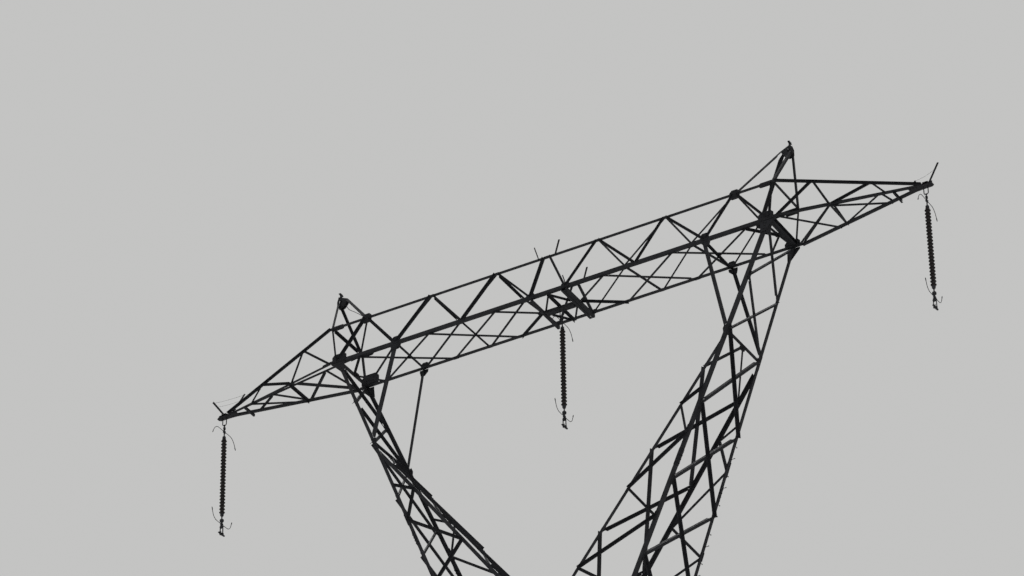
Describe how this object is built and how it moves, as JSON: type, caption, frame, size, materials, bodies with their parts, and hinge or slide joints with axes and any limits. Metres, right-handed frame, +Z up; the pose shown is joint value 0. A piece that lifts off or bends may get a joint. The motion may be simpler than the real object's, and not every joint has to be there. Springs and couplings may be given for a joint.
{
  "type": "lattice transmission pylon",
  "caption": "Free-standing lattice steel pylon with a delta window, side arms, earth-wire peaks and hanging insulator strings with conductor clamps.",
  "frame": {"origin": "on the ground, in the middle of the four feet", "axes": "+X along the beam to the right arm, +Y along the line away from the near side, +Z up"},
  "size_m": [21.3228, 7.26, 29.6893],
  "materials": {
    "angle_steel": "weathered galvanised, dull dark grey",
    "lacing_steel": "weathered galvanised, dull dark grey",
    "plate_steel": "weathered galvanised plate",
    "guard_steel": "weathered flat bar",
    "fitting_steel": "forged and galvanised",
    "insulator": "dark glaze, dusty"
  },
  "bodies": {
    "root": {"body_leg_near_left": "angle_steel", "body_leg_near_right": "angle_steel", "body_leg_far_left": "angle_steel", "body_leg_far_right": "angle_steel", "body_face_near": "lacing_steel", "body_face_far": "lacing_steel", "body_face_left": "lacing_steel", "body_face_right": "lacing_steel", "waist_diaphragm": "lacing_steel", "foot_plates": "plate_steel", "throat_lacing": "lacing_steel", "left_fork_chords": "angle_steel", "right_fork_chords": "angle_steel", "left_fork_face_lacing": "lacing_steel", "right_fork_face_lacing": "lacing_steel", "left_fork_side_lacing": "lacing_steel", "right_fork_side_lacing": "lacing_steel", "bridge_top_chords": "angle_steel", "bridge_bottom_chords": "angle_steel", "bridge_side_lacing": "lacing_steel", "bridge_top_lacing": "lacing_steel", "bridge_bottom_lacing": "lacing_steel", "center_hanger_frame": "plate_steel", "arm_root_beams": "plate_steel", "left_arm_chords": "angle_steel", "right_arm_chords": "angle_steel", "left_arm_side_lacing": "lacing_steel", "right_arm_side_lacing": "lacing_steel", "left_arm_plan_lacing": "lacing_steel", "right_arm_plan_lacing": "lacing_steel", "arm_tip_plates": "plate_steel", "left_peak_legs": "angle_steel", "right_peak_legs": "angle_steel", "peak_heads": "plate_steel", "perch_guards": "guard_steel"},
    "left_link": {"left_shackle": "fitting_steel"},
    "left_string": {"left_insulator_string": "insulator"},
    "left_clamp": {"left_suspension_clamp": "fitting_steel"},
    "center_link": {"center_shackle": "fitting_steel"},
    "center_string": {"center_insulator_string": "insulator"},
    "center_clamp": {"center_suspension_clamp": "fitting_steel"},
    "right_link": {"right_shackle": "fitting_steel"},
    "right_string": {"right_insulator_string": "insulator"},
    "right_clamp": {"right_suspension_clamp": "fitting_steel"}
  },
  "joints": [
    {"name": "left_link_swing", "type": "hinge", "parent": "root", "child": "left_link", "pos_m": [-10.26, 0, 26.75], "axis": [1, 0, 0], "range_deg": [-30, 30]},
    {"name": "left_string_swing", "type": "hinge", "parent": "left_link", "child": "left_string", "pos_m": [-10.26, 0, 26.64], "axis": [0, 1, 0], "range_deg": [-50, 50]},
    {"name": "left_clamp_rock", "type": "hinge", "parent": "left_string", "child": "left_clamp", "pos_m": [-10.26, 0, 23.43], "axis": [1, 0, 0], "range_deg": [-25, 25]},
    {"name": "center_link_swing", "type": "hinge", "parent": "root", "child": "center_link", "pos_m": [0, 0, 26.707], "axis": [1, 0, 0], "range_deg": [-30, 30]},
    {"name": "center_string_swing", "type": "hinge", "parent": "center_link", "child": "center_string", "pos_m": [0, 0, 26.597], "axis": [0, 1, 0], "range_deg": [-50, 50]},
    {"name": "center_clamp_rock", "type": "hinge", "parent": "center_string", "child": "center_clamp", "pos_m": [0, 0, 23.387], "axis": [1, 0, 0], "range_deg": [-25, 25]},
    {"name": "right_link_swing", "type": "hinge", "parent": "root", "child": "right_link", "pos_m": [10.26, 0, 26.75], "axis": [1, 0, 0], "range_deg": [-30, 30]},
    {"name": "right_string_swing", "type": "hinge", "parent": "right_link", "child": "right_string", "pos_m": [10.26, 0, 26.64], "axis": [0, 1, 0], "range_deg": [-50, 50]},
    {"name": "right_clamp_rock", "type": "hinge", "parent": "right_string", "child": "right_clamp", "pos_m": [10.26, 0, 23.43], "axis": [1, 0, 0], "range_deg": [-25, 25]}
  ]
}
